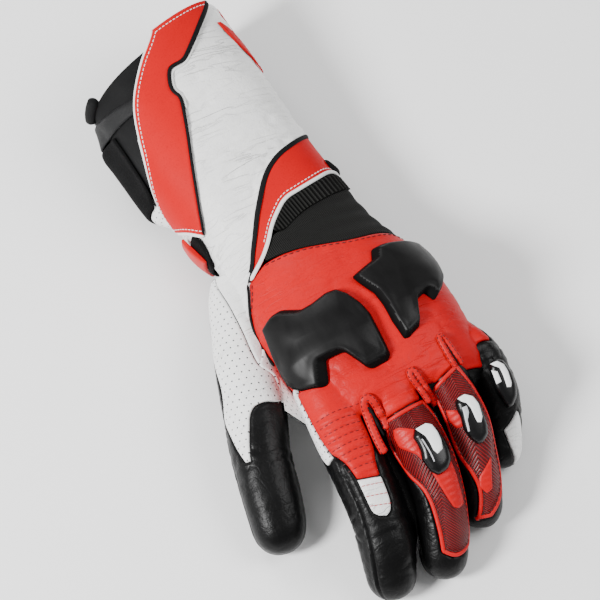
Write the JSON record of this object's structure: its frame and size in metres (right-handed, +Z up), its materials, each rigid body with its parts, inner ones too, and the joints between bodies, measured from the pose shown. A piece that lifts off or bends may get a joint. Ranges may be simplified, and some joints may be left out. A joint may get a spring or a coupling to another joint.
{
  "type": "leather motorcycle glove",
  "caption": "Left-hand leather sport glove with a long cuff, hard knuckle guards, finger sliders, pleats and knit stretch panels, lying palm down.",
  "frame": {"origin": "middle of the bounding box at floor level, under the palm", "axes": "+Y from the fingers to the cuff, +X to the little-finger side, +Z up through the back of the hand"},
  "size_m": [0.1528, 0.331, 0.0708],
  "materials": {
    "white_leather": "fine grained, semi matt",
    "red_leather": "creased, semi matt",
    "dark_red_overlay": "embossed with a hatched relief, satin",
    "black_leather": "supple, satin",
    "black_knit": "ribbed knit, matt",
    "black_loop_tape": "brushed loop, matt",
    "grey_band": "satin webbing",
    "hard_black": "moulded, soft gloss",
    "white_insert": "smooth",
    "red_pull": "moulded, soft gloss"
  },
  "bodies": {
    "root": {"cuff_back_panel": "white_leather", "cuff_side_panel": "white_leather", "cuff_flap": "red_leather", "cuff_insert": "red_leather", "cuff_accent": "red_leather", "cuff_underside": "black_leather", "closure_collar": "black_leather", "closure_tab": "black_loop_tape", "closure_band": "grey_band", "closure_roll": "black_leather", "wrist_strap": "black_loop_tape", "strap_pull": "red_pull", "wrist_tab": "black_leather", "wrist_rib_band": "black_knit", "wrist_stretch_panel": "black_knit", "hand_back": "red_leather", "palm": "black_leather", "finger_web": "black_leather", "thumb_side_panel": "white_leather", "thumb": "black_leather", "index_finger": "black_leather", "middle_finger": "black_leather", "ring_finger": "black_leather", "little_finger": "black_leather", "index_patch": "white_leather", "index_side_panel": "white_leather", "middle_overlay": "dark_red_overlay", "ring_overlay": "dark_red_overlay", "little_side_patch": "white_leather", "knuckle_guard_index": "hard_black", "knuckle_guard_ring": "hard_black", "middle_slider": "hard_black", "ring_slider": "hard_black", "little_slider": "hard_black", "middle_slider_insert": "white_insert", "ring_slider_insert": "white_insert", "little_slider_insert": "white_insert", "web_loop_index": "red_leather", "web_loop_middle": "red_leather", "web_loop_ring": "red_leather"}
  },
  "joints": []
}
